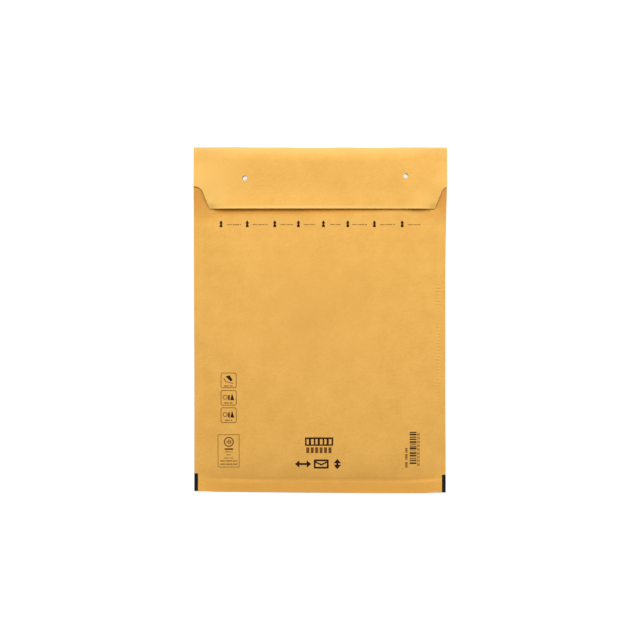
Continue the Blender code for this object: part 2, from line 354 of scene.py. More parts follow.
def bottom_edge(x):
    """The bottom fold's outer edge, which rises at the corners."""
    return BOTTOM_Y + bow(x, BOTTOM_BOW, BOTTOM_BOW_X) + CORNER_RISE * slope(np.abs(x), *CORNER_RISE_SLOPE)


def from_side(x, y):
    """Distance in from the nearer side edge."""
    return np.minimum(side_edge(y, 1) - x, side_edge(y, -1) + x)


def dome(inward, flat, parts):
    """0 at an edge, rising evenly over its flat strip and then ever more gently to 1."""
    beyond = np.clip(inward - flat, 0.0, None)
    total = (1.0 - sum(share for share, _ in parts)) * np.clip(inward / flat, 0.0, 1.0)
    for share, run in parts:
        total = total + share * (1.0 - np.exp(-beyond / run))
    return total


def side_fullness(x, y):
    """0 at the side edges and nearly 1 in the middle; where the shoulder starts wanders a little."""
    wander = 1.0 + waves(0.3 * x, y, SEAM_WANDER)
    return dome(from_side(x, y), SEAM * wander, SIDE_DOME)


def bottom_fullness(x, y):
    """0 at the bottom fold and nearly 1 towards the mouth."""
    wander = 1.0 + waves(x, 0.0 * y, STRIP_WANDER)
    return dome(y - bottom_edge(x), BOTTOM_STRIP * wander, BOTTOM_DOME)


def hexagonal(x, y):
    """(x, y) offset from the nearest bubble's centre, on a lattice of touching rows."""
    best_x = np.full(np.broadcast(x, y).shape, 1.0)
    best_y = best_x.copy()
    base = np.floor(y / BUBBLE_ROW_PITCH)
    for step in (0, 1):
        row = base + step
        shift = BUBBLE_PITCH / 2.0 * np.mod(row, 2)
        off_x = np.mod(x - shift + BUBBLE_PITCH / 2.0, BUBBLE_PITCH) - BUBBLE_PITCH / 2.0
        off_y = y - row * BUBBLE_ROW_PITCH
        nearer = np.hypot(off_x, off_y) < np.hypot(best_x, best_y)
        best_x = np.where(nearer, off_x, best_x)
        best_y = np.where(nearer, off_y, best_y)
    return best_x, best_y


def bubble_print(x, y):
    """How far the bubbles push the paper out: 1 over a bubble and 0 between them."""
    off_x, off_y = hexagonal(x, y)
    return smooth(BUBBLE_PRINT_EDGE - np.hypot(off_x, off_y) / BUBBLE_RADIUS)


def crimp_size(x, y):
    """How deep the ribs of the side seams are."""
    wear = waves(0.0 * x, y, CRIMP_WEAR)
    runs = sum(share * between(y, slopes) for share, slopes in CRIMP_RUNS)
    right = (CRIMP_RIGHT + runs) * np.clip(1.0 + CRIMP_RIGHT_WEAR * wear, 0.85, 1.15)
    left = np.clip(CRIMP_LEFT + CRIMP_LEFT_WEAR * wear, 0.0, 0.3)
    return CRIMP_DEPTH * between(from_side(x, y), CRIMP_SLOPES) * np.where(x > 0, right, left)


def crimp(x, y):
    """The ribs of the side seams."""
    return crimp_size(x, y) * np.cos(math.tau * (y - MOUTH_Y) / CRIMP_PITCH)


def pucker(x, y):
    """Short creases where the padding gathers the paper along the seams."""
    return bump(from_side(x, y), *PUCKER_BUMP) * waves(0.25 * x, y, PUCKERS)


def seam_level(y, side):
    """How high the side seams hold the paper off the table, which is most where the notches end."""
    below = np.clip(1.0 - (NOTCH_LIFT_Y - y) / NOTCH_LIFT_BELOW, 0.0, 1.0) ** 2
    above = slope(y, NOTCH_LIFT_Y + NOTCH_LIFT_ABOVE, -NOTCH_LIFT_ABOVE)
    return SEAM_LIFT * (1.0 - side) + NOTCH_LIFT * below * above * (1.0 - side) ** 1.5


def back_height(x, y):
    """Middle of the back panel's paper."""
    full = side_fullness(x, y)
    return PAPER / 2 + seam_level(y, full) + BUBBLE_PRINT * full * (1.0 - bubble_print(x, y))


def strip_hump(x, y):
    """The bottom strip stands open a little, most of all near its corners."""
    up = np.clip((y - bottom_edge(x)) / BOTTOM_STRIP, 0.0, 1.0)
    near_corner = np.maximum(*(bump(x, *place) for place in STRIP_HUMP_BUMPS))
    return STRIP_HUMP * np.sin(math.pi * up**1.6) * at_least(STRIP_HUMP_LEAST, near_corner)


def weld_groove(x, y):
    """The pressed line above the bottom strip, which rises to the right and fades towards the seams."""
    line = WELD_UP + WELD_RISE * slope(x, *WELD_RISE_SLOPE) + waves(x, 0.0 * y, WELD_WANDER)
    return WELD_DEPTH * bump(y - bottom_edge(x), line, WELD_REACH) * between(x, WELD_END_SLOPES)


def corner_crease(x, y):
    """A short sharp ridge in the bottom strip near the right corner."""
    line = bottom_edge(x) + CREASE_UP + CREASE_TILT * (x - CREASE_BUMP[0])
    ridge = np.clip(1.0 - np.abs(y - line) / CREASE_REACH, 0.0, 1.0)
    return CREASE_HEIGHT * ridge * bump(x, *CREASE_BUMP)


def body_level(x, y):
    """Middle of the front panel's paper without its finer relief."""
    side = side_fullness(x, y)
    depth = PLATEAU - PAPER - PLY_PITCH
    return PAPER / 2 + seam_level(y, side) + PLY_PITCH + depth * side * bottom_fullness(x, y)


def front_height(x, y):
    """Middle of the front panel's paper."""
    low = bottom_fullness(x, y)
    full = side_fullness(x, y) * low
    rolling = waves(x, y, ROLLING) + waves(x, y, FINE_ROLLING)
    patches = np.clip(BUBBLE_PRINT_SHARE + waves(x, y, BUBBLE_PRINT_PATCHES), 0.1, 1.0)
    bubbles = BUBBLE_PRINT * patches * (bubble_print(x, y) - 0.5)
    detail = full * (rolling + bubbles) + pucker(x, y) * low + crimp(x, y)
    strip = strip_hump(x, y) + corner_crease(x, y) - weld_groove(x, y)
    return body_level(x, y) + detail + strip


def lip_lift(x, from_fold, to_tip):
    """How far the lip stands up, or is tucked down at its corners."""
    corner = slope(np.abs(x), *LIP_CORNER_SLOPE)
    stand = LIP_LIFT * at_least(LIP_LIFT_LEAST, slope(x, *LIP_LIFT_SLOPE)) * corner
    curl = RIGHT_CURL * bump(x, *RIGHT_CURL_BUMP)
    die_cut_x = np.abs(x) - DIE_OFFSET * np.sign(x)
    tuck = CORNER_TUCK * slope(die_cut_x, *CORNER_TUCK_SLOPE) * slope(from_fold, *CORNER_TUCK_DOWN)
    return to_tip**LIP_POWER * (stand + curl - LIP_DROP * (1.0 - corner)) - tuck


def flap_height(x, y):
    """Middle of the flap's paper, which rests on the pouch but is too stiff to follow it to the seams."""
    from_fold = TOP_Y - y
    to_tip = np.clip((from_fold - FLAP_LENGTH + LIP_RUN) / LIP_RUN, 0.0, 1.2)
    spread = FLAP_SPREAD * slope(np.abs(x), *FLAP_SPREAD_SLOPE) - FLAP_SIDE_DROP
    crown = CROWN * slope(from_fold, *CROWN_SLOPE) * at_least(CROWN_LEAST, bump(x, *CROWN_BUMP))
    held = body_level(x, np.maximum(y, NOTCH_LIFT_Y)) - body_level(x, y)
    kept = FLAP_STIFFNESS * np.clip(held, 0.0, None) * (1.0 - LIP_GIVE * to_tip**2)
    tilt = LEFT_TILT * slope(x, *LEFT_TILT_SLOPE) * slope(from_fold, *LEFT_TILT_DOWN)
    lifts = spread + crown + kept + tilt + waves(x, 0.5 * y, FLAP_ROLLING)
    return body_level(x, y) + FLAP_CLEARANCE + lifts + lip_lift(x, from_fold, to_tip)


def notch_inset(from_fold):
    """How far the die-cut notch has come in from a centred flap's side."""
    sweep = math.pi / 2 - NOTCH_SLANT
    arc_end = NOTCH_START + NOTCH_RADIUS * (1.0 - math.cos(sweep))
    slant_end = TIP_INSET - (FLAP_LENGTH - arc_end) * math.tan(NOTCH_SLANT)
    if from_fold >= arc_end:
        return slant_end + (from_fold - arc_end) * math.tan(NOTCH_SLANT)
    turned = math.acos(1.0 - (from_fold - NOTCH_START) / NOTCH_RADIUS)
    return slant_end - NOTCH_RADIUS * (math.sin(sweep) - math.sin(turned))


def flap_edge(from_fold, side):
    """Half width of the flap at this distance from the fold."""
    if from_fold <= NOTCH_START:
        return HALF_WIDTH
    return HALF_WIDTH - max(notch_inset(from_fold) - side * DIE_OFFSET, 0.0)


def pouch_points(columns, rows):
    """Arrays of x and y over the pouch, from places across the flat sheet and nominal heights."""
    column, row = np.meshgrid(columns, rows)
    share = np.clip((MOUTH_Y - row) / (MOUTH_Y - BOTTOM_Y), 0.0, 1.0)
    y = row + (bottom_edge(column) - BOTTOM_Y) * share
    return column * side_edge(y, np.sign(column)) / HALF_WIDTH, y


def flap_points(columns, distances):
    """Arrays of x and y over the flap, whose outer columns press together in the notches."""
    outer = SEAM + SHOULDER
    x = np.zeros((len(distances), len(columns)))
    for index, from_fold in enumerate(distances):
        left = HALF_WIDTH - flap_edge(from_fold, -1)
        right = HALF_WIDTH - flap_edge(from_fold, 1)
        inward = HALF_WIDTH - np.abs(columns)
        inset = np.where(columns > 0, right, left)
        pressed = inset * np.clip(1.0 - inward / outer, 0.0, 1.0)
        x[index] = np.sign(columns) * (HALF_WIDTH - inward - pressed)
    y = TOP_Y - np.repeat(np.array(distances)[:, None], len(columns), axis=1)
    return x, y


def flap_distances():
    """Distances from the fold down the flap, with the notch's arc between."""
    sweep = math.pi / 2 - NOTCH_SLANT
    arc = NOTCH_START + NOTCH_RADIUS * (1.0 - np.cos(np.linspace(0.0, sweep, 11)))
    flat = np.linspace(FOLD_OVER, NOTCH_START, int((NOTCH_START - FOLD_OVER) / FLAP_ROW_STEP) + 1)
    tip = np.linspace(arc[-1], FLAP_LENGTH, int((FLAP_LENGTH - arc[-1]) / FLAP_ROW_STEP) + 1)
    return np.concatenate([flat, arc[1:], tip[1:]])


def sheet_columns():
    """Places across the flat sheet, closer together over the seams and shoulders."""
    left = -HALF_WIDTH + np.array(SEAM_COLUMNS + SHOULDER_COLUMNS) * MM
    middle = np.linspace(left[-1], -left[-1], MIDDLE_COLUMNS + 2)[1:-1]
    return np.concatenate([left, middle, -left[::-1]])


def stack(x, y, z):
    """One array of points from three arrays of coordinates."""
    return np.stack([x, y, z], axis=-1)


def pouch_zones(columns):
    """Rows of points over the front panel, round the bottom fold and up the back panel."""
    radius = PLY_PITCH / 2
    fold_y = BOTTOM_Y + PAPER / 2 + radius
    count = int((MOUTH_Y - fold_y) / ROW_STEP)
    rows = np.append(MOUTH_Y - ROW_STEP * np.arange(count + 1), fold_y)
    x, y = pouch_points(columns, rows)
    front = stack(x, y, front_height(x, y))
    x, y = pouch_points(columns, [fold_y])
    turn = np.linspace(0.0, math.pi, 7)[1:-1, None]
    middle = back_height(x, y) + radius
    bottom = stack(
        np.repeat(x, len(turn), axis=0), y - radius * np.sin(turn), middle + radius * np.cos(turn)
    )
    count = round((FOLD_START - fold_y) / BACK_ROW_STEP)
    x, y = pouch_points(columns, np.linspace(fold_y, FOLD_START, count + 1))
    return [front, bottom, stack(x, y, back_height(x, y))]


def fold_zones(columns, low):
    """Rows of points up the outside of the top fold from the back panel, and over it to the flap."""
    sides = slope(np.abs(columns), *FOLD_HEIGHT_SLOPE)
    height = FOLD_HEIGHT * at_least(FOLD_HEIGHT_LEAST, sides)[None, :]
    uneven = waves(columns, 0.0 * columns, FOLD_ROLLING)[None, :]
    outer = top_edge(columns)[None, :] - PAPER / 2 + uneven
    turn = np.linspace(0.0, math.pi / 2, 10)[1:, None]
    x = np.repeat(columns[None, :], len(turn), axis=0)
    y = FOLD_START + (outer - FOLD_START) * np.sin(turn)
    under = stack(x, y, low + height * (1.0 - np.cos(turn)))
    turn = np.linspace(math.pi / 2, 0.0, 16)[1:-1, None]
    x = np.repeat(columns[None, :], len(turn), axis=0)
    start = TOP_Y - FOLD_OVER
    top = flap_height(columns, start + 0.0 * columns)[None, :]
    y = start + (outer - start) * np.sin(turn)
    over = stack(x, y, low + height + (top - low - height) * np.cos(turn))
    return [under, over]


def sheet_grid():
    """The sheet's points row by row, from the front's mouth edge to the flap's tip, and each row's zone."""
    columns = sheet_columns()
    zones = pouch_zones(columns)
    zones += fold_zones(columns, zones[-1][-1:, :, 2])
    x, y = flap_points(columns, flap_distances())
    zones.append(stack(x, y, flap_height(x, y)))
    numbers = np.concatenate([[index] * len(zone) for index, zone in enumerate(zones)])
    return np.concatenate(zones), numbers


def mesh_from_grid(name, points):
    """A mesh of quads over an array of points, rows by columns."""
    rows, columns = points.shape[:2]
    index = np.arange(rows * columns).reshape(rows, columns)
    corners = [index[:-1, :-1], index[:-1, 1:], index[1:, 1:], index[1:, :-1]]
    faces = np.stack(corners, axis=-1).reshape(-1, 4)
    mesh = bpy.data.meshes.new(name)
    mesh.from_pydata(points.reshape(-1, 3).tolist(), [], faces.tolist())
    return mesh


def new_object(name, data):
    """An object with a mesh, lamp or camera, linked to the scene."""
    made = bpy.data.objects.new(name, data)
    bpy.context.scene.collection.objects.link(made)
    return made


def solidify(piece, thickness):
    """Gives a sheet its thickness, half to either side."""
    solid = piece.modifiers.new("thickness", "SOLIDIFY")
    solid.thickness = thickness
    solid.offset = 0.0


def apply_modifiers(piece):
    """Replaces a piece's mesh by what its modifiers make of it."""
    graph = bpy.context.evaluated_depsgraph_get()
    made = bpy.data.meshes.new_from_object(piece.evaluated_get(graph))
    old = piece.data
    piece.modifiers.clear()
    piece.data = made
    made.name = piece.name
    bpy.data.meshes.remove(old)


def shade(piece, degrees=40.0):
    """Smooth shading that keeps edges sharper than this angle."""
    piece.data.shade_smooth()
    piece.data.set_sharp_from_angle(angle=math.radians(degrees))


def hole_centres():
    """(x, y) of the two clip holes."""
    return [
        (HOLE_OFFSET + side * HOLE_SPACING / 2, TOP_Y - HOLE_FROM_FOLD + side * HOLE_SKEW / 2)
        for side in (-1, 1)
    ]


def punch_holes(piece):
    """Cuts the clip holes with the round punch."""
    punches = []
    round_bar = {"segments": 40, "depth": PUNCH_LENGTH, "radius1": HOLE_RADIUS, "radius2": HOLE_RADIUS}
    for x, y in hole_centres():
        bm = bmesh.new()
        bmesh.ops.create_cone(bm, cap_ends=True, **round_bar)
        mesh = bpy.data.meshes.new("punch")
        bm.to_mesh(mesh)
        bm.free()
        punch = new_object("punch", mesh)
        punch.location = (x, y, PUNCH_Z)
        cut = piece.modifiers.new("punch", "BOOLEAN")
        cut.operation = "DIFFERENCE"
        cut.solver = "EXACT"
        cut.object = punch
        punches.append(punch)
    apply_modifiers(piece)
    for punch in punches:
        bpy.data.objects.remove(punch, do_unlink=True)


def kraft_sheet():
    """The folded sheet with its flap, seams and registration marks."""
    points, zones = sheet_grid()
    mesh = mesh_from_grid("kraft_sheet", points)
    sheet = new_object("kraft_sheet", mesh)
    centre = (points[:-1, :-1] + points[1:, 1:]) / 2
    inward = from_side(centre[..., 0], centre[..., 1])
    pouch = (zones[:-1] <= 2)[:, None]
    up = centre[..., 1] - bottom_edge(centre[..., 0])
    marked = pouch & (inward < EDGE_MARK_WIDTH) & (up < EDGE_MARK_HEIGHT)
    slots = np.where(marked, 2, np.where(pouch, 0, 1))
    # Two copies of the kraft: the pouch's with painted shade and shadows, the flap's with painted light;
    # both carry the top fold's painted highlight
    mesh.materials.append(kraft_material("kraft_pouch_painted_shade", TOP_PAINTED_HIGHLIGHT + POUCH_PAINTED_SHADE, paints_shade=True))
    mesh.materials.append(kraft_material("kraft_flap_painted_light", TOP_PAINTED_HIGHLIGHT + FLAP_PAINTED_LIGHT))
    mesh.materials.append(ink_material("edge_mark_ink", (0.006, 0.010, 0.010), 0.35))
    mesh.polygons.foreach_set("material_index", slots.astype(np.int32).ravel())
    solidify(sheet, PAPER)
    punch_holes(sheet)
    shade(sheet)
    return sheet


def lining_levels(x, y):
    """Heights of the lining's two smooth films, below and above the pocket, clear of the crimps."""
    low = back_height(x, y) + PAPER / 2
    high = front_height(x, y) - crimp(x, y) - FILM_CRIMP_SHARE * crimp_size(x, y) - PAPER / 2
    layer = np.minimum(BUBBLE_HEIGHT, BUBBLE_SHARE * (high - low))
    return low + layer, high - layer, layer


def bubble_centres():
    """(x, y) arrays of the bubbles' centres, clear of the seams and the clip holes."""
    lowest = math.ceil(BUBBLES_LOW_Y / BUBBLE_ROW_PITCH)
    highest = math.floor((FILM_HIGH_Y - BUBBLE_RADIUS) / BUBBLE_ROW_PITCH)
    reach = math.ceil(HALF_WIDTH / BUBBLE_PITCH)
    row, step = np.mgrid[lowest : highest + 1, -reach : reach + 1]
    x = step * BUBBLE_PITCH + BUBBLE_PITCH / 2.0 * np.mod(row, 2)
    y = row * BUBBLE_ROW_PITCH
    clear = from_side(x, y) > SEAM + BUBBLE_RADIUS + BUBBLE_SIDE_GAP
    for hole_x, hole_y in hole_centres():
        clear &= np.hypot(x - hole_x, y - hole_y) > BUBBLE_RADIUS + HOLE_RADIUS
    return x[clear], y[clear]


def bubble_caps(direction):
    """A mesh of flattened domes that stand on one film, up or down towards the paper."""
    centre_x, centre_y = bubble_centres()
    rings = np.array([(1.0, 0.0), (0.95, 0.42), (0.78, 0.80), (0.45, 0.97), (0.0, 1.0)])
    segments = 12
    turn = np.arange(segments) * math.tau / segments
    x = centre_x[:, None, None] + BUBBLE_RADIUS * rings[:, 0][None, :, None] * np.cos(turn)
    y = centre_y[:, None, None] + BUBBLE_RADIUS * rings[:, 0][None, :, None] * np.sin(turn)
    low, high, layer = lining_levels(x, y)
    film = high if direction > 0 else low
    z = film + direction * rings[:, 1][None, :, None] * (layer - BUBBLE_GAP)
    points = stack(x, y, z)
    count, levels = len(centre_x), len(rings)
    index = np.arange(count * levels * segments).reshape(count, levels, segments)
    after = np.roll(index, -1, axis=2)
    corners = [index[:, :-1], after[:, :-1], after[:, 1:], index[:, 1:]]
    faces = np.stack(corners, axis=-1).reshape(-1, 4)
    mesh = bpy.data.meshes.new("bubbles")
    mesh.from_pydata(points.reshape(-1, 3).tolist(), [], faces.tolist())
    return mesh


def bubble_film():
    """The bag of bubble film: two smooth films round the pocket, with their bubbles towards the paper."""
    columns = np.linspace(-HALF_WIDTH + FILM_INSET, HALF_WIDTH - FILM_INSET, 80)
    rows = np.linspace(FILM_LOW_Y, FILM_HIGH_Y, 110)
    x, y = pouch_points(columns, rows)
    low, high, _ = lining_levels(x, y)
    points = np.concatenate([stack(x, y, high)[::-1], stack(x, y, low)])
    film = new_object("bubble_film", mesh_from_grid("bubble_film", points))
    solidify(film, FILM)
    punch_holes(film)
    bm = bmesh.new()
    bm.from_mesh(film.data)
    for direction in (1, -1):
        caps = bubble_caps(direction)
        bm.from_mesh(caps)
        bpy.data.meshes.remove(caps)
    bmesh.ops.remove_doubles(bm, verts=bm.verts[:], dist=0.001 * MM)
    bmesh.ops.recalc_face_normals(bm, faces=bm.faces[:])
    bm.to_mesh(film.data)
    bm.free()
    film.data.materials.append(film_material())
    shade(film)
    return film


def flap_strip(name, low, high, below, thickness, material, ripples=None):
    """A strip stuck along the flap's inner face, this far below the middle of the flap's paper."""
    columns = sheet_columns()
    distances = np.linspace(TOP_Y - high.y, TOP_Y - low.y, 12)
    x, y = flap_points(columns, distances)
    x[:, 0] += STRIP_INSET
    x[:, -1] -= STRIP_INSET
    z = flap_height(x, y) - below
    if ripples:
        z += waves(x, y, ripples)
    strip = new_object(name, mesh_from_grid(name, stack(x, y, z)))
    solidify(strip, thickness)
    apply_modifiers(strip)
    strip.data.materials.append(material)
    shade(strip)
    return strip


class Nodes:
    """The node tree of a material or the world, with a short way to add and join nodes."""

    def __init__(self, owner, shader="Principled BSDF"):
        owner.use_nodes = True
        self.owner = owner
        self.tree = owner.node_tree
        self.shader = self.tree.nodes[shader]

    def add(self, kind, inputs=(), **settings):
        node = self.tree.nodes.new(kind)
        for key, value in settings.items():
            setattr(node, key, value)
        for key, value in dict(inputs).items():
            self.put(node.inputs[key], value)
        return node

    def put(self, target, value):
        if isinstance(value, bpy.types.NodeSocket):
            self.tree.links.new(value, target)
        else:
            target.default_value = value

    def set(self, key, value):
        self.put(self.shader.inputs[key], value)

    def math(self, operation, *values):
        return self.add("ShaderNodeMath", enumerate(values), operation=operation).outputs[0]

    def place(self, scale, turn=0.0):
        """Object coordinates, turned about Z and stretched."""
        source = self.add("ShaderNodeTexCoord").outputs["Object"]
        turned = self.add("ShaderNodeMapping", {0: source, 2: (0.0, 0.0, turn)}).outputs[0]
        return self.add("ShaderNodeMapping", {0: turned, 3: scale}).outputs[0]

    def noise(self, scale, detail=2.0, turn=0.0, rough=0.5):
        """Cloudy noise of about 0 to 1, with scale as turns to the metre along each axis."""
        values = {0: self.place(scale, turn), "Scale": 1.0, "Detail": detail, "Roughness": rough}
        return self.add("ShaderNodeTexNoise", values).outputs[0]

    def ramp(self, value, low, high, start=0.0, end=1.0):
        """Maps low..high of a value to start..end, clamped."""
        values = {0: value, 1: low, 2: high, 3: start, 4: end}
        return self.add("ShaderNodeMapRange", values).outputs[0]

    def mix(self, factor, first, second):
        values = {0: factor, 6: first, 7: second}
        return self.add("ShaderNodeMix", values, data_type="RGBA").outputs[2]

    def bump(self, height, strength, distance):
        values = {"Height": height, "Strength": strength, "Distance": distance}
        return self.add("ShaderNodeBump", values).outputs[0]

    def field(self, centre, reach):
        """1 at a place on the sheet in millimetres, fading to 0 at an ellipse round it."""
        source = self.add("ShaderNodeTexCoord").outputs["Object"]
        shift = tuple(-place / run for place, run in zip(centre, reach)) + (0.0,)
        scale = tuple(1.0 / (run * MM) for run in reach) + (0.0,)
        near = self.add("ShaderNodeMapping", {0: source, 1: shift, 3: scale}).outputs[0]
        length = self.add("ShaderNodeVectorMath", {0: near}, operation="LENGTH").outputs["Value"]
        return self.ramp(length, 1.0, 0.0)

    def seen(self):
        """1 where the camera sees this or a gloss or film shows it, and 0 for the light it gives."""
        path = self.add("ShaderNodeLightPath").outputs
        mirrored = self.math("MAXIMUM", path["Is Glossy Ray"], path["Is Transmission Ray"])
        return self.math("MAXIMUM", path["Is Camera Ray"], mirrored)


def colour(r, g, b):
    """A colour written as 0..255 screen values."""
    return tuple(((c / 255.0 + 0.055) / 1.055) ** 2.4 for c in (r, g, b)) + (1.0,)


def fibre_fields(nodes):
    """Paper fibres: fine streaks in several directions, added up to about 0..1."""
    total = None
    for turn, long_way, across in ((0.15, 160, 2600), (1.2, 190, 2300), (2.2, 170, 2900), (2.9, 120, 1800)):
        streak = nodes.noise((long_way, across, 400.0), 3.0, turn, 0.6)
        total = streak if total is None else nodes.math("ADD", total, streak)
    return nodes.math("MULTIPLY", total, 0.25)


def paint_pouch_shade(nodes):
    """Masks and tones of the painted shade on the seams below the notches, and of the painted shadow under
    the lip.
    """
    place = nodes.add("ShaderNodeTexCoord").outputs["Object"]
    x, y, _ = nodes.add("ShaderNodeSeparateXYZ", {0: place}).outputs
    outward = nodes.math("ABSOLUTE", x)
    across = nodes.ramp(outward, *SEAM_SHADE_ACROSS)
    seam_shade_mask = nodes.math("MULTIPLY", across, nodes.ramp(y, *SEAM_SHADE_UP, 0.0, 0.6))
    # Painted shadow under the lip, reaching further down on the left
    start = nodes.ramp(x, *LIP_SHADOW_TURN, *LIP_SHADOW_STARTS)
    across = nodes.ramp(outward, *LIP_SHADOW_ENDS)
    lip_shadow_mask = nodes.math("MULTIPLY", across, nodes.ramp(y, start, LIP_SHADOW_FULL, 0.0, 0.7))
    return ((seam_shade_mask, SEAM_SHADE), (lip_shadow_mask, LIP_SHADOW))


def kraft_material(name, painted_light_fields, paints_shade=False):
    """Golden kraft: cloudy formation, fibre streaks, a few darker shives and a soft machine gloss, with
    patches of painted light and shade over its tone.
    """
    nodes = Nodes(bpy.data.materials.new(name))
    fibres = fibre_fields(nodes)
    clouds = nodes.noise((75.0, 60.0, 75.0), 3.0)
    floc = nodes.noise((420.0, 420.0, 420.0), 2.0, 0.5)
    tone = nodes.mix(nodes.ramp(clouds, 0.35, 0.65), colour(232, 175, 83), colour(238, 181, 89))
    tone = nodes.mix(nodes.ramp(floc, 0.40, 0.62, 0.0, 0.12), tone, colour(226, 165, 66))
    tone = nodes.mix(nodes.ramp(fibres, 0.50, 0.62, 0.0, 0.32), tone, colour(250, 201, 112))
    tone = nodes.mix(nodes.ramp(fibres, 0.49, 0.38, 0.0, 0.28), tone, colour(206, 141, 50))
    # Patches of painted light and shade over the paper's tone
    for centre, reach, share, target in painted_light_fields:
        near = nodes.math("MULTIPLY", nodes.field(centre, reach), share)
        tone = nodes.mix(near, tone, colour(*target))
    # Painted shade on the seams and a painted shadow under the lip, on the pouch only
    for mask, target in paint_pouch_shade(nodes) if paints_shade else ():
        tone = nodes.mix(mask, tone, colour(*target))
    specks = nodes.noise((900.0, 2400.0, 900.0), 1.0, 0.8)
    tone = nodes.mix(nodes.ramp(specks, 0.70, 0.78, 0.0, 0.35), tone, colour(150, 92, 34))
    nodes.set("Base Color", tone)
    nodes.set("Roughness", nodes.ramp(fibres, 0.3, 0.7, 0.56, 0.72))
    nodes.shader.inputs["Specular IOR Level"].default_value = 0.25
    surface = nodes.math("ADD", nodes.math("MULTIPLY", fibres, 0.7), nodes.math("MULTIPLY", floc, 0.6))
    nodes.set("Normal", nodes.bump(surface, 0.45, 0.00012))
    return nodes.owner


def ink_material(name, tint, roughness):
    """Flexographic ink that lets a little of the paper's grain through."""
    nodes = Nodes(bpy.data.materials.new(name))
    fibres = fibre_fields(nodes)
    grain = nodes.ramp(fibres, 0.42, 0.62)
    lighter = tuple(value * 1.8 + 0.004 for value in tint)
    nodes.set("Base Color", nodes.mix(grain, (*tint, 1.0), (*lighter, 1.0)))
    nodes.set("Roughness", nodes.ramp(fibres, 0.3, 0.7, roughness, roughness + 0.15))
    nodes.shader.inputs["Specular IOR Level"].default_value = 0.05
    nodes.set("Normal", nodes.bump(fibres, 0.35, 0.0001))
    return nodes.owner


def film_material():
    """Clear polyethylene film, a little milky, with a soft gloss."""
    nodes = Nodes(bpy.data.materials.new("bubble_film"))
    haze = nodes.noise((300.0, 300.0, 300.0), 3.0)
    nodes.set("Base Color", nodes.mix(haze, colour(222, 230, 234), colour(240, 244, 246)))
    nodes.set("Roughness", nodes.ramp(haze, 0.3, 0.7, 0.12, 0.26))
    nodes.set("Alpha", nodes.ramp(haze, 0.3, 0.7, 0.24, 0.36))
    nodes.set("Normal", nodes.bump(haze, 0.2, 0.0002))
    return nodes.owner


def glue_material():
    """Hot-melt adhesive: amber, uneven and glossy."""
    nodes = Nodes(bpy.data.materials.new("hot_melt_adhesive"))
    flow = nodes.noise((120.0, 900.0, 300.0), 3.0)
    nodes.set("Base Color", nodes.mix(flow, colour(206, 176, 118), colour(228, 204, 152)))
    nodes.set("Roughness", nodes.ramp(flow, 0.3, 0.7, 0.14, 0.34))
    nodes.set("Normal", nodes.bump(flow, 0.5, 0.0003))
    return nodes.owner


def liner_material():
    """Silicone-coated release paper: off-white with a fine even formation."""
    nodes = Nodes(bpy.data.materials.new("silicone_paper"))
    fibres = fibre_fields(nodes)
    cloud = nodes.noise((260.0, 260.0, 260.0), 3.0)
    tone = nodes.mix(cloud, colour(226, 224, 214), colour(242, 241, 234))
    tone = nodes.mix(nodes.ramp(fibres, 0.5, 0.62, 0.0, 0.25), tone, colour(250, 250, 246))
    nodes.set("Base Color", tone)
    nodes.set("Roughness", nodes.ramp(fibres, 0.3, 0.7, 0.24, 0.36))
    nodes.set("Normal", nodes.bump(fibres, 0.25, 0.0001))
    return nodes.owner


def floor_material():
    """White floor that keeps shadows: what is seen of it has some light of its own."""
    nodes = Nodes(bpy.data.materials.new("white_floor"))
    nodes.set("Base Color", (FLOOR_TONE, FLOOR_TONE, FLOOR_TONE, 1.0))
    nodes.set("Roughness", 0.9)
    nodes.shader.inputs["Specular IOR Level"].default_value = 0.0
    nodes.set("Emission Color", (1.0, 1.0, 1.0, 1.0))
    nodes.set("Emission Strength", nodes.math("MULTIPLY", nodes.seen(), FLOOR_GLOW))
    return nodes.owner


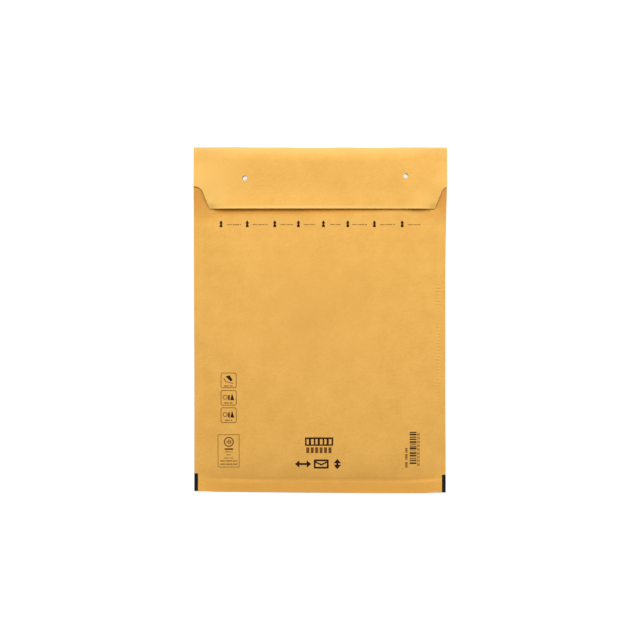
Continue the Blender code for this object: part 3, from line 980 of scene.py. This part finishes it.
class Stamp:
    """Flat printed shapes in millimetres from the envelope's middle, gathered in one bmesh."""

    def __init__(self):
        self.bm = bmesh.new()

    def polygon(self, points):
        """One flat face, or a patch of small ones for a shape with four corners."""
        if len(points) == 4:
            self.patch(*points)
        else:
            self.bm.faces.new([self.bm.verts.new((x * MM, y * MM, 0.0)) for x, y in points])

    def patch(self, a, b, c, d):
        """A four-cornered shape in cells small enough to follow the paper."""
        across = max(math.ceil(max(math.dist(a, b), math.dist(d, c)) / PRINT_CELL), 1)
        along = max(math.ceil(max(math.dist(a, d), math.dist(b, c)) / PRINT_CELL), 1)
        grid = []
        for j in range(along + 1):
            v = j / along
            row = []
            for i in range(across + 1):
                u = i / across
                x = (a[0] * (1 - u) + b[0] * u) * (1 - v) + (d[0] * (1 - u) + c[0] * u) * v
                y = (a[1] * (1 - u) + b[1] * u) * (1 - v) + (d[1] * (1 - u) + c[1] * u) * v
                row.append(self.bm.verts.new((x * MM, y * MM, 0.0)))
            grid.append(row)
        for below, above in zip(grid, grid[1:]):
            for i in range(across):
                self.bm.faces.new((below[i], below[i + 1], above[i + 1], above[i]))

    def bar(self, x0, y0, x1, y1):
        self.polygon([(x0, y0), (x1, y0), (x1, y1), (x0, y1)])

    def ticks(self, x0, x1, y, height):
        """A row of small upright blocks in uneven groups, as plain filler for a line of small print."""
        x = x0
        step = 0
        while x < x1 - 0.5:
            width = 0.42 + 0.16 * (step * 3 % 4)
            self.bar(x, y, min(x + width, x1), y + height)
            x += width + (0.75 if step % 5 == 4 else 0.28)
            step += 1

    def rungs(self, x0, x1, y0, y1):
        """A column of small level strokes, as plain filler for a line of print that runs upwards."""
        for step in range(int((y1 - y0) / 0.95)):
            self.bar(x0, y0 + step * 0.95, x1, y0 + step * 0.95 + 0.60 + 0.12 * (step % 2))

    def line(self, x0, y0, x1, y1, width):
        """A straight stroke with square ends."""
        length = math.hypot(x1 - x0, y1 - y0)
        off_x = -(y1 - y0) / length * width / 2
        off_y = (x1 - x0) / length * width / 2
        corners = [(x0 + off_x, y0 + off_y), (x1 + off_x, y1 + off_y)]
        corners += [(x1 - off_x, y1 - off_y), (x0 - off_x, y0 - off_y)]
        self.polygon(corners)

    def loop(self, outer, inner):
        """A closed stroke between two outlines with the same number of points."""
        count = len(outer)
        for i in range(count):
            j = (i + 1) % count
            self.polygon([outer[i], outer[j], inner[j], inner[i]])

    def ring(self, x, y, radius, width, segments=24):
        turns = [math.tau * i / segments for i in range(segments)]
        outer = [(x + radius * math.cos(t), y + radius * math.sin(t)) for t in turns]
        inner = [(x + (radius - width) * math.cos(t), y + (radius - width) * math.sin(t)) for t in turns]
        self.loop(outer, inner)

    def frame(self, x0, y0, x1, y1, corner, width):
        """A rounded rectangle drawn as an outline."""
        inner_corner = max(corner - width, 0.05)
        inner = rounded(x0 + width, y0 + width, x1 - width, y1 - width, inner_corner)
        self.loop(rounded(x0, y0, x1, y1, corner), inner)


def rounded(x0, y0, x1, y1, corner):
    """Outline points of a rectangle with round corners."""
    steps = 5
    centres = [(x1 - corner, y1 - corner, 0), (x0 + corner, y1 - corner, 1)]
    centres += [(x0 + corner, y0 + corner, 2), (x1 - corner, y0 + corner, 3)]
    points = []
    for cx, cy, quarter in centres:
        for i in range(steps + 1):
            turn = math.pi / 2 * (quarter + i / steps)
            points.append((cx + corner * math.cos(turn), cy + corner * math.sin(turn)))
    return points


def opening_row(stamp, fine):
    """A row of small up arrows with a thin dash after each, across the top of the front."""
    y = 76.7
    arrows = (-79.1, -58.2, -36.3, -17.5, 2.4, 21.8, 43.0, 65.1)
    dashes = ((-74.3, -63.2), (-54.0, -41.3), (-31.7, -21.4), (-13.0, -3.9))
    dashes += ((7.7, 16.4), (25.2, 37.9), (47.5, 60.2), (69.8, 80.1))
    for x in arrows:
        head = ((-1.3, 0.3), (1.3, 0.3), (1.0, 1.4), (0.0, 2.9), (-1.0, 1.4))
        stamp.polygon([(x + across, y + up) for across, up in head])
        stamp.bar(x - 0.7, y - 0.7, x + 0.7, y + 0.3)
        stamp.bar(x - 1.1, y - 2.6, x + 1.1, y - 0.7)
    for start, end in dashes:
        fine.ticks(start, end, y - 0.9, 0.65)


def handling_squares(stamp, fine):
    """Three rounded squares, each with a plain motif of its own."""
    left, right = -79.4, -66.8
    middle = (left + right) / 2
    for top, kind in ((-41.8, 0), (-55.7, 1), (-69.5, 2)):
        bottom = top - 12.2
        fine.frame(left, bottom, right, top, 1.6, 0.5)
        if kind == 0:
            blade = ((-2.4, 2.9), (0.8, 2.0), (3.2, 5.9), (1.6, 6.9))
            stamp.polygon([(middle + across, top - down) for across, down in blade])
            fine.line(middle - 3.8, top - 4.4, middle - 2.0, top - 7.2, 0.5)
            fine.line(middle - 2.0, top - 7.2, middle + 3.8, top - 8.6, 0.5)
            fine.ticks(left + 2.6, right - 2.4, bottom + 1.2, 0.9)
        else:
            fine.ring(left + 3.5, top - 5.6, 1.9, 0.55)
            fine.bar(middle - 0.6, top - 7.9, middle + 1.0, top - 3.9)
            stamp.polygon([(right - 4.9, top - 8.0), (right - 1.8, top - 8.0), (right - 3.6, top - 2.3)])
            width = 3.8 if kind == 1 else 3.0
            fine.ticks(middle - width, middle + width, bottom + 1.5, 1.0)


def ruled_box(stamp, fine):
    """An outlined box with a ring, which holds three small bars, over a few ruled lines."""
    left, right, top, bottom = -81.8, -64.5, -91.0, -117.2
    fine.frame(left, bottom, right, top, 0.5, 0.42)
    middle = (left + right) / 2 + 0.2
    fine.ring(middle, top - 5.9, 4.0, 0.9, 36)
    for across, reach in ((-1.4, 1.0), (0.0, 1.9), (1.4, 1.4)):
        fine.bar(middle + across - 0.4, top - 5.9 - reach, middle + across + 0.4, top - 5.9 + reach)
    fine.bar(middle - 3.4, top - 12.3, middle + 3.4, top - 11.0)
    for down, reach in ((14.2, 2.9), (16.6, 2.0), (19.2, 3.6)):
        fine.ticks(middle - reach, middle + reach, top - down, 0.7)
    for down in (21.6, 24.2):
        fine.ticks(left + 2.0, right - 1.8, top - down, 1.0)


def centre_block(stamp, fine):
    """A plain two-part block: a dark bar with a row of slots, over a row of small squares."""
    left, right, count = -12.2, 10.2, 6
    pitch = (right - left - 1.2) / count
    stamp.bar(left, -94.6, right, -93.3)
    stamp.bar(left, -100.0, right, -98.9)
    stamp.bar(left, -98.9, left + 1.2, -94.6)
    for i in range(count):
        x = left + 1.2 + i * pitch
        stamp.bar(x + 1.8 + 0.4 * (i % 2), -98.9, x + pitch, -94.6)
        fine.bar(x - 0.2, -105.8, x + pitch - 1.4, -101.2)


def size_marks(stamp):
    """A bold pictogram of a closed envelope between a width arrow and a height arrow."""
    low, high = -118.2, -110.9
    stamp.frame(-5.2, low, 6.6, high, 0.8, 1.4)
    crease = (0.7, high - 4.9)
    stamp.patch((-3.8, high - 1.4), (-3.8, high - 2.7), crease, (0.7, high - 3.6))
    stamp.patch((5.2, high - 1.4), (0.7, high - 3.6), crease, (5.2, high - 2.7))
    middle = (low + high) / 2
    stamp.bar(-17.0, middle - 0.8, -10.6, middle + 0.8)
    stamp.polygon([(-20.2, middle), (-16.7, middle - 3.0), (-16.7, middle + 3.0)])
    stamp.polygon([(-7.4, middle), (-10.9, middle - 3.0), (-10.9, middle + 3.0)])
    stamp.bar(12.7, low + 2.9, 14.3, high - 2.9)
    stamp.polygon([(13.5, high + 0.5), (10.5, high - 3.0), (16.5, high - 3.0)])
    stamp.polygon([(13.5, low - 0.5), (10.5, low + 3.0), (16.5, low + 3.0)])


def bar_stack(stamp, fine):
    """Made-up stacked bars that stand for no number, with a fine dashed column on either side."""
    left, right, top, bottom = 71.1, 76.6, -88.9, -114.6
    y = top
    step = 0
    while y > bottom:
        thick = 0.30 + 0.30 * ((step * 5 + 2) % 4)
        clear = 0.36 + 0.30 * ((step * 7 + 1) % 3)
        stamp.bar(left, max(y - thick, bottom), right, y)
        y -= thick + clear
        step += 1
    for i in range(9):
        start = top - 1.0 - i * 3.0
        fine.bar(77.3, start - 2.2, 77.9, start)
        fine.bar(78.4, start - 2.2, 79.0, start)
    for start, end in ((-100.7, -105.4), (-105.9, -111.0), (-112.0, -117.4)):
        fine.rungs(67.6, 69.5, end, start)


def printed(name, stamp, sheet_tree, material):
    """Lays the stamped shapes on the front panel as a thin skin of ink that follows its curve."""
    bm = stamp.bm
    high = 50 * MM
    down = Vector((0.0, 0.0, -1.0))
    for vertex in bm.verts:
        hit = sheet_tree.ray_cast(Vector((vertex.co.x, vertex.co.y, high)), down)[0]
        vertex.co.z = hit.z + INK
    raised = bmesh.ops.extrude_face_region(bm, geom=bm.faces[:])["geom"]
    for item in raised:
        if isinstance(item, bmesh.types.BMVert):
            item.co.z -= 2 * INK
    bmesh.ops.recalc_face_normals(bm, faces=bm.faces[:])
    mesh = bpy.data.meshes.new(name)
    bm.to_mesh(mesh)
    bm.free()
    made = new_object(name, mesh)
    mesh.materials.append(material)
    shade(made, 60.0)
    return made


def floor():
    """A wide plain floor just under the envelope."""
    bm = bmesh.new()
    bmesh.ops.create_grid(bm, x_segments=2, y_segments=2, size=FLOOR_REACH)
    mesh = bpy.data.meshes.new("floor")
    bm.to_mesh(mesh)
    bm.free()
    made = new_object("floor", mesh)
    made.location.z = -FLOOR_DROP
    mesh.materials.append(floor_material())
    made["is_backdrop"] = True


def soft_box():
    """A wide lamp above the flap end, turned down to the envelope's middle."""
    data = bpy.data.lights.new("soft_box", "AREA")
    data.shape = "RECTANGLE"
    data.size, data.size_y = LAMP_SIZE
    data.energy = LAMP_POWER
    lamp = new_object("soft_box", data)
    lamp.location = LAMP_PLACE
    lamp.rotation_euler.x = -math.atan2(lamp.location.y, lamp.location.z)


def lights():
    """One big soft box beyond the flap end, in an even white surround."""
    soft_box()
    nodes = Nodes(bpy.data.worlds.new("studio"), "Background")
    nodes.set("Color", (1.0, 1.0, 1.0, 1.0))
    nodes.set("Strength", nodes.ramp(nodes.seen(), 0.0, 1.0, SURROUND, 1.0))
    bpy.context.scene.world = nodes.owner


def camera():
    """Straight above the envelope's middle, framed as in the photograph."""
    data = bpy.data.cameras.new("camera")
    data.lens = 100.0
    data.sensor_width = 36.0
    distance = PHOTO_PIXELS * METRES_TO_A_PIXEL * data.lens / data.sensor_width
    made = new_object("camera", data)
    made.location = (*CAMERA_SHIFT, distance + SHEET_HIGH.z / 2)
    bpy.context.scene.camera = made


def front_print(sheet):
    """All the printing on the front, in two inks: a dense dark one, and a lighter one for fine marks."""
    tree = BVHTree.FromObject(sheet, bpy.context.evaluated_depsgraph_get())
    stamp = Stamp()
    fine = Stamp()
    opening_row(stamp, fine)
    handling_squares(stamp, fine)
    ruled_box(stamp, fine)
    centre_block(stamp, fine)
    size_marks(stamp)
    bar_stack(stamp, fine)
    dark = ink_material("dark_ink", (0.026, 0.008, 0.003), 0.5)
    light = ink_material("fine_ink", (0.13, 0.052, 0.012), 0.55)
    return [
        printed("printed_marks", stamp, tree, dark),
        printed("printed_fine_marks", fine, tree, light),
    ]


def build():
    """Makes every piece with its materials, hides the CAD parts that they stand in for, and sets the
    studio.
    """
    sheet = kraft_sheet()
    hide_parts("kraft_envelope")
    lining = bubble_film()
    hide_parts("bubble_lining")
    glue = flap_strip("flap_adhesive", GLUE_LOW, GLUE_HIGH, GLUE_BELOW, GLUE, glue_material())
    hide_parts("adhesive_strip")
    liner = flap_strip(
        "flap_liner", LINER_LOW, LINER_HIGH, LINER_BELOW, LINER, liner_material(), LINER_RIPPLES
    )
    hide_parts("release_liner")
    prints = front_print(sheet)
    for piece in (sheet, lining, glue, liner, *prints):
        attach(piece, "root")
    floor()
    lights()
    camera()
    bpy.context.scene.view_settings.view_transform = "Standard"
    sizes = {"cad": CAD_BOX, "visual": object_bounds()}
    {key: [list(corner) for corner in box] for key, box in sizes.items()}


build()
